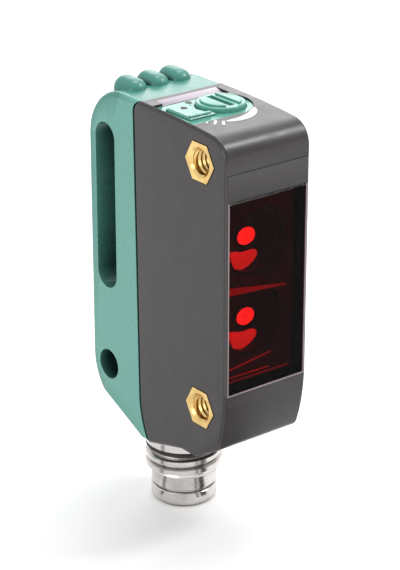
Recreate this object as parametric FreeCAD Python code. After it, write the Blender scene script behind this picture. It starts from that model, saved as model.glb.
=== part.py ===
"""Miniature photoelectric sensor with an M8 connector, one STEP file for each piece.

Frame: millimetres, +Z up, -Y is the lens side, -X and +X are the two mounting sides.
The origin is the centre of the plain mounting hole, midway across the width.
"""

import FreeCAD
import Part
import math
import os

# Overall sizes, from the mounting hole
WIDTH = 10.2
HOLE_TO_FRONT = 19.2
HOLE_TO_REAR = 2.9
HOLE_TO_TOP = 29.8
HOLE_TO_BASE = 6.5

# Housing shells
WALL = 1.0
CEILING = 2.65
FLOOR = 4.55
SHELL_GAP = 0.05
FIT_GAP = 0.05
FRONT_EDGE_FILLET = 0.35
REAR_EDGE_FILLET = 0.55
PARTING_TO_HOLE = 4.7
PARTING_CORNER = 1.25
PARTING_LEAN = 0.5
PARTING_FOOT = 5.15
PARTING_FOOT_BACK = 1.4
TONGUE_LENGTH = 1.8
TONGUE_WALL = 0.6

# Outline of the front shell
CROWN_DROP = 0.5
NOSE_DEPTH = 2.3
NOSE_HEIGHT = 2.5
CHIN_RISE = 10.35
CHIN_DEPTH = 1.15
CHIN_BREAK = 3.7
CHIN_ROUND = 1.2
KEEL_DEPTH = 4.9
KEEL_LENGTH = 2.2
KEEL_RISE = 1.5
BROW_STEP = 0.08
BROW_ABOVE_WINDOW = 2.7

# Outline of the rear shell
SHOULDER_RADIUS = 5.4
HEEL_RISE = 7.15
HEEL_DEPTH = 1.7
HEEL_BREAK = 2.95
HEEL_FLAT = 1.2

# Grip ribs on the rear shoulder
RIB_COUNT = 3
RIB_PITCH = 2.7
RIB_RADIUS = 1.3
RIB_PROUD = 0.95
RIB_LENGTH = 3.9
RIB_CENTRE_Y = -1.15

# Mounting hole and slot
MOUNT_RADIUS = 1.6
MOUNT_WALL = 0.95
SLOT_FIRST = 10.2
SLOT_LAST = 24.65

# Threaded bushings
BUSHING_PITCH = 25.4
BUSHING_FLATS = 3.75
BUSHING_BORE_RADIUS = 1.25
BUSHING_TO_HOLE_Y = 15.25
BUSHING_LOW_Z = 0.85
BUSHING_GAP = 0.08
BUSHING_PROUD = 0.05
BUSHING_BEVEL = 0.25
BUSHING_TO_BOARD = 0.3

# Window and its seal
WINDOW_SIDE = 0.35
WINDOW_HEIGHT = 19.8
WINDOW_LOW_Z = 3.35
WINDOW_THICKNESS = 1.15
WINDOW_SEAL = 0.2
WINDOW_LEDGE = 0.7
WINDOW_LEDGE_DEPTH = 0.85
WINDOW_BEVEL = 0.15

# Optics
AXIS_SPACING = 8.4
LENS_RADIUS = 3.65
LENS_EDGE = 0.5
LENS_DOME = 0.85
CHANNEL_RADIUS = 3.35
CARRIER_DEPTH = 4.0
REFLECTOR_WALL = 0.3
REFLECTOR_MOUTH = 3.1
REFLECTOR_THROAT = 1.9
REFLECTOR_DEPTH = 1.9
REFLECTOR_SPREAD = 84.0
DIODE_RADIUS = 0.95
DIODE_FLANGE = 1.25
DIODE_HEIGHT = 1.9

# Boards
BOARD = 0.8
BOARD_MARGIN = 0.1
MAIN_BOARD_X = 2.4
MAIN_BOARD_DEPTH = 6.9
CONTROL_BOARD_LENGTH = 5.5
CONTROL_BOARD_BELOW = 3.7

# Control panel in the top
PANEL_THICKNESS = 0.9
PANEL_BELOW_TOP = 0.3
PANEL_WIDTH = 6.2
PANEL_LIP = 0.3
RAMP_LENGTH = 1.2
KNOB_X = 0.9
KNOB_TO_HOLE_Y = 10.8
KNOB_RADIUS = 2.45
KNOB_GAP = 0.1
KNOB_PROUD = 0.5
KNOB_SHAFT_RADIUS = 1.1
KNOB_SLOT_WIDTH = 0.7
KNOB_SLOT_DEPTH = 0.6
KNOB_SHAFT_GAP = 0.05
KEY_TO_PANEL_END = 0.5
KEY_LENGTH = 3.8
KEY_PROUD = 0.3
KEY_TRAVEL = 0.4
KEY_GAP = 0.1
KEY_RIM = 0.3
KEY_RIM_HEIGHT = 0.35
KEY_STEM_RADIUS = 0.55
LIGHT_PIPE_RADIUS = 0.35

# Connector
CONNECTOR_TO_HOLE_Y = 6.0
THREAD_RADIUS = 4.0
RING_HEIGHT = 1.2
UNDERCUT_RADIUS = 3.5
UNDERCUT_HEIGHT = 0.5
THREAD_LENGTH = 2.5
COLLAR_RADIUS = 3.4
COLLAR_LENGTH = 3.5
COLLAR_GROOVE = 0.3
COLLAR_GROOVE_DEPTH = 0.25
COLLAR_CHAMFER = 0.45
SOCKET_RADIUS = 2.7
SOCKET_DEPTH = 5.35
RING_SEAT = 1.85
SHANK_LENGTH = 2.4
PIN_RADIUS = 0.5
PIN_LENGTH_OUT = 4.0
PIN_PLACES = ((-0.95, -1.15), (0.95, -1.15), (1.3, 0.8), (-1.3, 0.8))

# Places worked out from the sizes above
HALF = WIDTH / 2
INNER = HALF - WALL
FRONT_Y = -HOLE_TO_FRONT
REAR_Y = HOLE_TO_REAR
TOP_Z = HOLE_TO_TOP
BASE_Z = -HOLE_TO_BASE
CEILING_Z = TOP_Z - CEILING
FLOOR_Z = BASE_Z + FLOOR
PARTING_Y = -PARTING_TO_HOLE
WINDOW_WIDTH = WIDTH - 2 * WINDOW_SIDE
WINDOW_TOP_Z = WINDOW_LOW_Z + WINDOW_HEIGHT
SEAT_Y = FRONT_Y + WINDOW_THICKNESS + WINDOW_SEAL
CAVITY_Y = SEAT_Y + WINDOW_LEDGE_DEPTH
BOARD_Y = SEAT_Y + CARRIER_DEPTH + FIT_GAP
BUSHING_Y = -BUSHING_TO_HOLE_Y
BEHIND_BUSHING_Y = BUSHING_Y + BUSHING_FLATS / math.sqrt(3) + BUSHING_TO_BOARD
INNER_BOARD_Y = max(BOARD_Y + BOARD + BOARD_MARGIN, BEHIND_BUSHING_Y)
MIDDLE_Z = (WINDOW_LOW_Z + WINDOW_TOP_Z) / 2 + 0.45
PANEL_TOP_Z = TOP_Z - PANEL_BELOW_TOP
PANEL_LOW_Z = PANEL_TOP_Z - PANEL_THICKNESS
KNOB_Y = -KNOB_TO_HOLE_Y
PANEL_SIDE = HALF - PANEL_LIP
PANEL_FRONT_Y = KNOB_Y - PANEL_WIDTH / 2
PANEL_REAR_Y = KNOB_Y + PANEL_WIDTH / 2
CONTROL_BOARD_Z = CEILING_Z - CONTROL_BOARD_BELOW
KEY_LEFT = -PANEL_SIDE + KEY_TO_PANEL_END
CONNECTOR_Y = -CONNECTOR_TO_HOLE_Y
RING_LOW_Z = BASE_Z - RING_HEIGHT
THREAD_TOP_Z = RING_LOW_Z - UNDERCUT_HEIGHT
THREAD_LOW_Z = THREAD_TOP_Z - THREAD_LENGTH
CONNECTOR_END_Z = THREAD_LOW_Z - COLLAR_LENGTH
RING_TOP_Z = BASE_Z + RING_SEAT
SHANK_TOP_Z = RING_TOP_Z + SHANK_LENGTH
CARRIER_END_Z = CONNECTOR_END_Z + SOCKET_DEPTH
X_AXIS = FreeCAD.Vector(1, 0, 0)
Y_AXIS = FreeCAD.Vector(0, 1, 0)
Z_AXIS = FreeCAD.Vector(0, 0, 1)


def box(x0, x1, y0, y1, z0, z1):
    """A box between two corners."""
    return Part.makeBox(x1 - x0, y1 - y0, z1 - z0, FreeCAD.Vector(x0, y0, z0))


def rod(radius, start, length, axis=Z_AXIS):
    """A round bar from its start point along an axis."""
    return Part.makeCylinder(radius, length, FreeCAD.Vector(*start), axis)


def tube(outer, inner, start, length, axis=Z_AXIS):
    """A round tube from its start point along an axis."""
    return rod(outer, start, length, axis).cut(rod(inner, start, length, axis))


def side_point(y, z):
    """A point of a side outline, in the plane X = 0."""
    return FreeCAD.Vector(0, y, z)


def side_line(start, end):
    return Part.LineSegment(side_point(*start), side_point(*end)).toShape()


def side_arc(start, middle, end):
    return Part.Arc(side_point(*start), side_point(*middle), side_point(*end)).toShape()


def tangent_arc_middle(start, end, side):
    """The middle point of an arc that leaves its start along Z and bulges to one side in Y."""
    dy = end[0] - start[0]
    dz = end[1] - start[1]
    chord = math.hypot(dy, dz)
    half_turn = math.asin(abs(dy) / chord)
    bulge = chord / 2 * math.tan(half_turn / 2)
    return ((start[0] + end[0]) / 2 + side * bulge * abs(dz) / chord,
            (start[1] + end[1]) / 2 + bulge * abs(dy) / chord * math.copysign(1, dz))


def side_prism(edges, half_width):
    """A closed side outline made solid across the width."""
    face = Part.Face(Part.Wire(edges))
    face.translate(FreeCAD.Vector(-half_width, 0, 0))
    return face.extrude(FreeCAD.Vector(2 * half_width, 0, 0))


def polygon_prism(corners, half_width):
    """A straight-sided side outline made solid across the width."""
    edges = [side_line(a, b) for a, b in zip(corners, corners[1:] + corners[:1])]
    return side_prism(edges, half_width)


def hexagon(flats, y, z, half_width):
    """A hexagonal bar across the width, with flats above and below."""
    across = flats / math.sqrt(3)
    corners = [(y + across * math.cos(math.radians(60 * k)), z + across * math.sin(math.radians(60 * k)))
               for k in range(6)]
    return polygon_prism(corners, half_width)


def parting_outline(shift):
    """The line where the two shells meet, from the top down, as points and edges."""
    top = (PARTING_Y - PARTING_CORNER + shift, TOP_Z)
    corner = (PARTING_Y + shift, TOP_Z - PARTING_CORNER)
    round_off = PARTING_CORNER * (1 - math.sqrt(0.5))
    middle = (corner[0] - round_off, TOP_Z - round_off)
    knee = (corner[0] - PARTING_LEAN, BASE_Z + PARTING_FOOT)
    foot = (knee[0] - PARTING_FOOT_BACK, BASE_Z)
    shin = tangent_arc_middle(knee, foot, 1)
    edges = [side_arc(top, middle, corner), side_line(corner, knee), side_arc(knee, shin, foot)]
    return top, foot, edges


def edge_at_side(edge):
    """Whether an edge lies wholly in one of the two side faces."""
    box_x = edge.BoundBox
    return box_x.XLength < 1e-6 and abs(abs(box_x.XMin) - HALF) < 1e-6


def rim_edges(solid, parting):
    """The edges of both side faces, apart from those along the parting line."""
    chosen = []
    for edge in solid.Edges:
        if not edge_at_side(edge):
            continue
        middle = edge.valueAt((edge.FirstParameter + edge.LastParameter) / 2)
        flat = Part.Vertex(side_point(middle.y, middle.z))
        if min(flat.distToShape(piece)[0] for piece in parting) > 0.01:
            chosen.append(edge)
    return chosen


def front_shell_body():
    """The outer form of the front shell, filled."""
    top, foot, parting = parting_outline(-SHELL_GAP)
    nose_top = (FRONT_Y + NOSE_DEPTH, TOP_Z - CROWN_DROP)
    nose_low = (FRONT_Y, nose_top[1] - NOSE_HEIGHT)
    nose = (nose_top[0] - NOSE_DEPTH * math.sqrt(0.5), nose_low[1] + NOSE_HEIGHT * math.sqrt(0.5))
    crown = ((top[0] + nose_top[0]) / 2, TOP_Z - CROWN_DROP / 4)
    chin_top = (FRONT_Y, BASE_Z + CHIN_RISE)
    chin_low = (FRONT_Y + CHIN_DEPTH, BASE_Z + CHIN_BREAK)
    chin = tangent_arc_middle(chin_top, chin_low, -1)
    keel_front = (FRONT_Y + KEEL_DEPTH, BASE_Z + KEEL_RISE)
    keel_rear = (keel_front[0] + KEEL_LENGTH, keel_front[1])
    edges = parting + [
        side_line(foot, keel_rear),
        side_line(keel_rear, keel_front),
        side_line(keel_front, chin_low),
        side_arc(chin_low, chin, chin_top),
        side_line(chin_top, nose_low),
        side_arc(nose_low, nose, nose_top),
        side_arc(nose_top, crown, top),
    ]
    solid = side_prism(edges, HALF)
    chin_edge = [edge for edge in solid.Edges
                 if all(math.hypot(end.Y - chin_low[0], end.Z - chin_low[1]) < 0.01 for end in edge.Vertexes)]
    solid = solid.makeFillet(CHIN_ROUND, chin_edge)
    return solid.makeFillet(FRONT_EDGE_FILLET, rim_edges(solid, parting))


def rear_shell_body():
    """The outer form of the rear shell, filled."""
    top, foot, parting = parting_outline(0)
    shoulder_top = (REAR_Y - SHOULDER_RADIUS, TOP_Z)
    shoulder_low = (REAR_Y, TOP_Z - SHOULDER_RADIUS)
    shoulder = (shoulder_top[0] + SHOULDER_RADIUS * math.sqrt(0.5),
                shoulder_low[1] + SHOULDER_RADIUS * math.sqrt(0.5))
    heel_top = (REAR_Y, BASE_Z + HEEL_RISE)
    heel_low = (REAR_Y - HEEL_DEPTH, BASE_Z + HEEL_BREAK)
    heel = tangent_arc_middle(heel_top, heel_low, 1)
    sole = (foot[0] + HEEL_FLAT, BASE_Z)
    edges = parting + [
        side_line(foot, sole),
        side_line(sole, heel_low),
        side_arc(heel_low, heel, heel_top),
        side_line(heel_top, shoulder_low),
        side_arc(shoulder_low, shoulder, shoulder_top),
        side_line(shoulder_top, top),
    ]
    solid = side_prism(edges, HALF)
    return solid.makeFillet(REAR_EDGE_FILLET, rim_edges(solid, parting))


def shank_holes():
    """The stepped hole that both shells leave for the connector."""
    place = (0, CONNECTOR_Y)
    ring = rod(THREAD_RADIUS + FIT_GAP, (*place, RING_LOW_Z), RING_TOP_Z + FIT_GAP - RING_LOW_Z)
    shank = rod(UNDERCUT_RADIUS + FIT_GAP, (*place, RING_LOW_Z), FLOOR_Z - RING_LOW_Z + WALL)
    return ring.fuse(shank)


def panel_outline(grow, z0, z1):
    """The control panel's form: square at the printed side and round about the knob."""
    end = rod(PANEL_WIDTH / 2 + grow, (KNOB_X, KNOB_Y, z0), z1 - z0)
    plate = box(-PANEL_SIDE - grow, KNOB_X, PANEL_FRONT_Y - grow, PANEL_REAR_Y + grow, z0, z1)
    return plate.fuse(end).removeSplitter()


def key_outline(grow, z0, z1):
    """The key's form: a rectangle hollowed round the knob."""
    front = KNOB_Y - KEY_LENGTH / 2 - 0.1
    inner_end = KNOB_X - 0.7 * KNOB_RADIUS
    plate = box(KEY_LEFT - grow, inner_end, front - grow, front + KEY_LENGTH + grow, z0, z1)
    return plate.cut(rod(KNOB_RADIUS + 5 * KNOB_GAP - grow, (KNOB_X, KNOB_Y, z0), z1 - z0))


def key_stem_place():
    """The centre of the key's stem."""
    return (KEY_LEFT + 1.4, KNOB_Y - 0.1)


def light_pipe_places():
    """The centres of the two light pipes under the panel."""
    y = PANEL_REAR_Y - 2 * LIGHT_PIPE_RADIUS + 0.2
    return ((KEY_LEFT + 0.8, y), (KEY_LEFT + 2.6, y))


def front_housing():
    """Front shell: window rebate, cavity, hexagon holes, panel recess and control bores."""
    solid = front_shell_body()
    brow_z = WINDOW_TOP_Z + BROW_ABOVE_WINDOW
    solid = solid.cut(box(-HALF, HALF, FRONT_Y - 1, FRONT_Y + BROW_STEP, brow_z, TOP_Z))
    rebate = box(-WINDOW_WIDTH / 2 - FIT_GAP, WINDOW_WIDTH / 2 + FIT_GAP, FRONT_Y - 1, SEAT_Y,
                 WINDOW_LOW_Z - FIT_GAP, WINDOW_TOP_Z + FIT_GAP)
    opening = box(-INNER, INNER, FRONT_Y, CAVITY_Y + WALL,
                  WINDOW_LOW_Z + WINDOW_LEDGE, WINDOW_TOP_Z - WINDOW_LEDGE)
    cavity = polygon_prism([(CAVITY_Y, CEILING_Z), (CAVITY_Y, WINDOW_LOW_Z - WALL),
                            (CAVITY_Y + WALL, FLOOR_Z), (REAR_Y, FLOOR_Z), (REAR_Y, CEILING_Z)], INNER)
    solid = solid.cut([rebate, opening, cavity, shank_holes()])
    for bushing_z in (BUSHING_LOW_Z, BUSHING_LOW_Z + BUSHING_PITCH):
        solid = solid.cut(hexagon(BUSHING_FLATS + 2 * BUSHING_GAP, BUSHING_Y, bushing_z, HALF + 1))
    ramp = polygon_prism([(PANEL_REAR_Y - WALL, PANEL_TOP_Z), (PANEL_REAR_Y, PANEL_TOP_Z),
                          (PANEL_REAR_Y + RAMP_LENGTH, TOP_Z + 0.02), (PANEL_REAR_Y - WALL, TOP_Z + 1)],
                         KNOB_X + PANEL_WIDTH / 2 - 0.3)
    recess = panel_outline(FIT_GAP, PANEL_LOW_Z, TOP_Z + 1)
    rim_low = PANEL_LOW_Z - FIT_GAP - KEY_RIM_HEIGHT
    key_pocket = key_outline(KEY_RIM + KEY_GAP, rim_low - KEY_TRAVEL - FIT_GAP, PANEL_LOW_Z + FIT_GAP)
    stem = key_stem_place()
    key_bore = rod(KEY_STEM_RADIUS + KNOB_SHAFT_GAP, (*stem, CEILING_Z - WALL), TOP_Z - CEILING_Z)
    key_seat = rod(2 * KEY_STEM_RADIUS, (*stem, rim_low - KEY_TRAVEL - 0.4), WALL / 2)
    knob_bore = rod(KNOB_SHAFT_RADIUS + KNOB_SHAFT_GAP, (KNOB_X, KNOB_Y, CEILING_Z - WALL), 2 * CEILING)
    knob_seat = rod(1.75 * KNOB_SHAFT_RADIUS, (KNOB_X, KNOB_Y, PANEL_LOW_Z - WALL / 2), WALL)
    solid = solid.cut([ramp, recess, key_pocket, key_bore, key_seat, knob_bore, knob_seat])
    for place in light_pipe_places():
        solid = solid.cut(rod(LIGHT_PIPE_RADIUS + FIT_GAP, (*place, CEILING_Z - WALL), 2 * CEILING))
    return solid


def rib(x):
    """One grip rib: a round bar along Y with round ends."""
    reach = RIB_LENGTH / 2 - RIB_RADIUS
    z = TOP_Z + RIB_PROUD - RIB_RADIUS
    bar = rod(RIB_RADIUS, (x, RIB_CENTRE_Y - reach, z), 2 * reach, Y_AXIS)
    ends = []
    for side in (-1, 1):
        ends.append(Part.makeSphere(RIB_RADIUS, FreeCAD.Vector(x, RIB_CENTRE_Y + side * reach, z)))
    return bar.fuse(ends).removeSplitter()


def slot_bar(radius, half_width):
    """The slot's form across the width, for a given half width of the slot."""
    ends = [rod(radius, (-half_width, 0, z), 2 * half_width, X_AXIS) for z in (SLOT_FIRST, SLOT_LAST)]
    middle = box(-half_width, half_width, -radius, radius, SLOT_FIRST, SLOT_LAST)
    return ends[0].fuse([ends[1], middle]).removeSplitter()


def rear_housing():
    """Rear shell: walled mounting hole and slot, grip ribs, and the tongue that enters the front shell."""
    outside = rear_shell_body()
    for k in range(RIB_COUNT):
        outside = outside.fuse(rib((k - (RIB_COUNT - 1) / 2) * RIB_PITCH))
    across = HALF + 1
    cavity = box(-INNER, INNER, PARTING_Y - 2 * PARTING_FOOT_BACK, REAR_Y - WALL, FLOOR_Z, CEILING_Z)
    walls = rod(MOUNT_RADIUS + MOUNT_WALL, (-HALF, 0, 0), WIDTH, X_AXIS)
    cavity = cavity.cut([walls, slot_bar(MOUNT_RADIUS + MOUNT_WALL, HALF)])
    tongue_outer = box(-INNER + FIT_GAP, INNER - FIT_GAP, PARTING_Y - PARTING_LEAN - TONGUE_LENGTH, PARTING_Y,
                       FLOOR_Z + FLOOR / 2, CEILING_Z - FIT_GAP)
    tongue_inner = box(-INNER + FIT_GAP + TONGUE_WALL, INNER - FIT_GAP - TONGUE_WALL,
                       PARTING_Y - 3 * TONGUE_LENGTH, PARTING_Y + WALL,
                       FLOOR_Z, CEILING_Z - FIT_GAP - TONGUE_WALL)
    bridge = box(-INNER - WALL / 2, INNER + WALL / 2, PARTING_Y - WALL / 4, PARTING_Y + WALL,
                 FLOOR_Z + FLOOR / 2, CEILING_Z + WALL / 2)
    tongue = tongue_outer.fuse(bridge.common(outside)).cut(tongue_inner)
    solid = outside.cut([cavity, shank_holes()]).fuse(tongue)
    holes = rod(MOUNT_RADIUS, (-across, 0, 0), 2 * across, X_AXIS)
    return solid.cut([holes, slot_bar(MOUNT_RADIUS, across)])


def front_window():
    """Flat window plate with a bevelled outer edge."""
    plate = box(-WINDOW_WIDTH / 2, WINDOW_WIDTH / 2, FRONT_Y, FRONT_Y + WINDOW_THICKNESS,
                WINDOW_LOW_Z, WINDOW_TOP_Z)
    rim = [e for e in plate.Edges if e.BoundBox.YMax < FRONT_Y + 1e-6]
    return plate.makeChamfer(WINDOW_BEVEL, rim)


def window_seal():
    """Thin frame between the window and its ledge."""
    y = FRONT_Y + WINDOW_THICKNESS
    inset = WINDOW_LEDGE + FIT_GAP
    frame = box(-WINDOW_WIDTH / 2, WINDOW_WIDTH / 2, y, y + WINDOW_SEAL, WINDOW_LOW_Z, WINDOW_TOP_Z)
    return frame.cut(box(-INNER, INNER, y, y + WINDOW_SEAL, WINDOW_LOW_Z + inset, WINDOW_TOP_Z - inset))


def channel_places():
    """Heights of the receiver's and the emitter's optical axes."""
    return MIDDLE_Z + AXIS_SPACING / 2, MIDDLE_Z - AXIS_SPACING / 2


def optics_carrier():
    """Block behind the window, with a stepped bore for each lens."""
    z0 = WINDOW_LOW_Z + WINDOW_LEDGE + FIT_GAP
    z1 = WINDOW_TOP_Z - WINDOW_LEDGE - FIT_GAP
    solid = box(-INNER + FIT_GAP, INNER - FIT_GAP, SEAT_Y, SEAT_Y + CARRIER_DEPTH, z0, z1)
    seat = LENS_EDGE + LENS_DOME
    for z in channel_places():
        solid = solid.cut(rod(LENS_RADIUS + FIT_GAP, (0, SEAT_Y, z), seat, Y_AXIS))
        solid = solid.cut(rod(CHANNEL_RADIUS, (0, SEAT_Y, z), CARRIER_DEPTH, Y_AXIS))
    return solid


def lens(z):
    """Lens with a domed front, seated on the step of its bore."""
    back = SEAT_Y + LENS_EDGE + LENS_DOME
    curve = (LENS_RADIUS ** 2 + LENS_DOME ** 2) / (2 * LENS_DOME)
    ball = Part.makeSphere(curve, FreeCAD.Vector(0, SEAT_Y + curve, z))
    return rod(LENS_RADIUS, (0, SEAT_Y, z), back - SEAT_Y, Y_AXIS).common(ball)


def reflector(z):
    """Curved reflector at the bottom of a channel: part of a cone, turned about the axis."""
    rear = SEAT_Y + CARRIER_DEPTH
    front = rear - REFLECTOR_DEPTH
    outline = [(front, z - CHANNEL_RADIUS + FIT_GAP), (front, z - REFLECTOR_MOUTH),
               (rear, z - REFLECTOR_THROAT), (rear, z - CHANNEL_RADIUS + FIT_GAP)]
    edges = [side_line(a, b) for a, b in zip(outline, outline[1:] + outline[:1])]
    face = Part.Face(Part.Wire(edges))
    face.rotate(FreeCAD.Vector(0, 0, z), Y_AXIS, -REFLECTOR_SPREAD / 2)
    return face.revolve(FreeCAD.Vector(0, 0, z), Y_AXIS, REFLECTOR_SPREAD)


def diode(z):
    """Round-nosed diode standing on the optics board."""
    base = rod(DIODE_FLANGE, (0, BOARD_Y - 0.25, z), 0.25, Y_AXIS)
    stalk = DIODE_HEIGHT - DIODE_RADIUS
    body = rod(DIODE_RADIUS, (0, BOARD_Y - stalk, z), stalk, Y_AXIS)
    nose = Part.makeSphere(DIODE_RADIUS, FreeCAD.Vector(0, BOARD_Y - stalk, z))
    return base.fuse([body, nose]).removeSplitter()


def optics_board():
    """Upright board behind the optics."""
    return box(-INNER + BOARD_MARGIN, INNER - BOARD_MARGIN, BOARD_Y, BOARD_Y + BOARD,
               WINDOW_LOW_Z + WINDOW_LEDGE, CONTROL_BOARD_Z - BOARD)


def main_board_span():
    """Front and rear ends of the main board."""
    return INNER_BOARD_Y, INNER_BOARD_Y + MAIN_BOARD_DEPTH


def main_board():
    """Board along the length, parallel to the sides."""
    y0, y1 = main_board_span()
    return box(MAIN_BOARD_X, MAIN_BOARD_X + BOARD, y0, y1, FLOOR_Z + 0.7, CONTROL_BOARD_Z - BOARD)


def board_link():
    """Plug block between the optics board and the main board."""
    y0 = BOARD_Y + BOARD
    return box(MAIN_BOARD_X - 1.2, MAIN_BOARD_X, y0, y0 + 1.3, MIDDLE_Z - 4, MIDDLE_Z + 4)


def control_chip():
    """Control chip on the main board."""
    y0, y1 = main_board_span()
    middle = (y0 + y1) / 2 + 0.8
    return box(MAIN_BOARD_X - 0.9, MAIN_BOARD_X, middle - 2, middle + 2, MIDDLE_Z - 2, MIDDLE_Z + 2)


def board_components():
    """Small parts on the main board: two rows of chip capacitors and a coil."""
    y0, y1 = main_board_span()
    parts = []
    for row, y in enumerate((y0 + 2.2, y0 + 4.4)):
        for k in range(3):
            z = CONTROL_BOARD_Z - 3.2 - 1.7 * k
            parts.append(box(MAIN_BOARD_X - 0.5 - 0.2 * row, MAIN_BOARD_X, y, y + 1.5, z, z + 0.9))
    coil_z = MIDDLE_Z - 6
    parts.append(tube(1.5, 0.6, (MAIN_BOARD_X - 1.4, y0 + 3.4, coil_z), 1.4, X_AXIS))
    return Part.makeCompound(parts)


def control_board():
    """Level board under the panel, on top of the main board."""
    y0 = INNER_BOARD_Y
    return box(-INNER + BOARD_MARGIN, INNER - BOARD_MARGIN, y0, y0 + CONTROL_BOARD_LENGTH,
               CONTROL_BOARD_Z - BOARD, CONTROL_BOARD_Z)


def indicator_led(place):
    """Chip diode under one light pipe."""
    x, y = place
    return box(x - 0.5, x + 0.5, y - 0.35, y + 0.35, CONTROL_BOARD_Z, CONTROL_BOARD_Z + 0.5)


def indicator_panel():
    """Clear panel round the knob and the key, with two light pipes below."""
    solid = panel_outline(0, PANEL_LOW_Z, PANEL_TOP_Z)
    solid = solid.cut([rod(KNOB_RADIUS + KNOB_GAP, (KNOB_X, KNOB_Y, PANEL_LOW_Z), PANEL_THICKNESS),
                       key_outline(KEY_GAP, PANEL_LOW_Z, PANEL_TOP_Z)])
    pipe_low = CONTROL_BOARD_Z + 0.6
    for place in light_pipe_places():
        solid = solid.fuse(rod(LIGHT_PIPE_RADIUS, (*place, pipe_low), PANEL_LOW_Z - pipe_low))
    return solid


def teach_key():
    """Key with a retaining rim below the panel and a stem down to its switch."""
    head = key_outline(0, PANEL_LOW_Z - FIT_GAP - KEY_RIM_HEIGHT, PANEL_TOP_Z + KEY_PROUD)
    rim = key_outline(KEY_RIM, PANEL_LOW_Z - FIT_GAP - KEY_RIM_HEIGHT, PANEL_LOW_Z - FIT_GAP)
    top = [e for e in head.Edges if e.BoundBox.ZMin > PANEL_TOP_Z + KEY_PROUD - 1e-6]
    head = head.makeChamfer(KEY_PROUD / 2, top)
    low = switch_top_z() + KEY_TRAVEL + 0.2
    stem = rod(KEY_STEM_RADIUS, (*key_stem_place(), low), PANEL_LOW_Z - low)
    return head.fuse([rim, stem]).removeSplitter()


def key_seal():
    """Rubber ring round the key's stem."""
    z = PANEL_LOW_Z - FIT_GAP - KEY_RIM_HEIGHT - KEY_TRAVEL - 0.4
    return tube(2 * KEY_STEM_RADIUS - 0.02, KEY_STEM_RADIUS + 0.03, (*key_stem_place(), z), 0.35)


def switch_top_z():
    """Top of the key's switch."""
    return CONTROL_BOARD_Z + 1.5


def key_switch():
    """Push switch on the control board, with a well for its plunger."""
    x, y = key_stem_place()
    body = box(x - 1.1, x + 1.1, y - 1.1, y + 1.1, CONTROL_BOARD_Z, switch_top_z())
    well = rod(KEY_STEM_RADIUS, (x, y, switch_top_z() - KEY_TRAVEL - 0.7), 2)
    return body.cut(well)


def switch_plunger():
    """Plunger between the key's stem and the switch."""
    radius = KEY_STEM_RADIUS - KNOB_SHAFT_GAP
    low = switch_top_z() - 0.6
    return rod(radius, (*key_stem_place(), low), switch_top_z() + KEY_TRAVEL + 0.2 - low)


def knob_low_z():
    """Underside of the knob's head."""
    return PANEL_LOW_Z + FIT_GAP


def mode_knob():
    """Knob with a screwdriver slot and a grooved shaft."""
    top = PANEL_TOP_Z + KNOB_PROUD
    head = rod(KNOB_RADIUS, (KNOB_X, KNOB_Y, knob_low_z()), top - knob_low_z())
    edge = [e for e in head.Edges if e.BoundBox.ZMin > top - 1e-6]
    head = head.makeFillet(0.2, edge)
    shaft = rod(KNOB_SHAFT_RADIUS, (KNOB_X, KNOB_Y, rotor_top_z()), knob_low_z() - rotor_top_z())
    groove = tube(KNOB_SHAFT_RADIUS + 1, KNOB_SHAFT_RADIUS - 0.25, (KNOB_X, KNOB_Y, CEILING_Z - 0.4), 0.3)
    half_slot = KNOB_SLOT_WIDTH / 2
    reach = 0.75 * KNOB_RADIUS
    slot = box(KNOB_X - half_slot, KNOB_X + half_slot, KNOB_Y - reach, KNOB_Y + reach,
               top - KNOB_SLOT_DEPTH, top + 1)
    return head.fuse(shaft).cut([groove, slot])


def knob_clip():
    """Open spring ring in the shaft's groove, under the front shell's ceiling."""
    ring = tube(KNOB_SHAFT_RADIUS + 0.6, KNOB_SHAFT_RADIUS - 0.22, (KNOB_X, KNOB_Y, CEILING_Z - 0.35), 0.2)
    mouth = box(KNOB_X, KNOB_X + 3, KNOB_Y - 0.6, KNOB_Y + 0.6, CEILING_Z - 1, CEILING_Z)
    return ring.cut(mouth)


def knob_seal():
    """Rubber ring round the knob's shaft."""
    place = (KNOB_X, KNOB_Y, PANEL_LOW_Z - WALL / 2)
    return tube(1.75 * KNOB_SHAFT_RADIUS - 0.02, KNOB_SHAFT_RADIUS + 0.03, place, WALL / 2)


def rotor_top_z():
    """Top of the rotary switch's rotor."""
    return CEILING_Z - 0.55


def rotary_half():
    """Half the side of the rotary switch, which reaches the upper bushing."""
    return KNOB_Y - BEHIND_BUSHING_Y - 0.05


def rotary_switch():
    """Body of the rotary switch, with a round well for its rotor."""
    half = rotary_half()
    body = box(KNOB_X - half, KNOB_X + half, KNOB_Y - half, KNOB_Y + half, CONTROL_BOARD_Z, rotor_top_z())
    return body.cut(rod(half - 0.3, (KNOB_X, KNOB_Y, rotor_top_z() - 1.1), 2))


def switch_rotor():
    """Rotor with its wiper finger, turned by the knob."""
    radius = rotary_half() - 0.35
    disc = rod(radius, (KNOB_X, KNOB_Y, rotor_top_z() - 1), 1)
    notch = box(KNOB_X + 0.9, KNOB_X + 2, KNOB_Y - 0.3, KNOB_Y + 0.3, rotor_top_z() - 0.4, CEILING_Z)
    return disc.cut(notch)


def bushing(z):
    """Hexagonal sleeve across the width, bored for its thread and bevelled at both ends."""
    half = HALF + BUSHING_PROUD
    solid = hexagon(BUSHING_FLATS, BUSHING_Y, z, half)
    solid = solid.cut(rod(BUSHING_BORE_RADIUS, (-half, BUSHING_Y, z), 2 * half, X_AXIS))
    for side in (-1, 1):
        mouth = Part.makeCone(BUSHING_BORE_RADIUS + BUSHING_BEVEL, BUSHING_BORE_RADIUS, BUSHING_BEVEL,
                              FreeCAD.Vector(side * half, BUSHING_Y, z), X_AXIS * -side)
        solid = solid.cut(mouth)
    return solid


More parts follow.
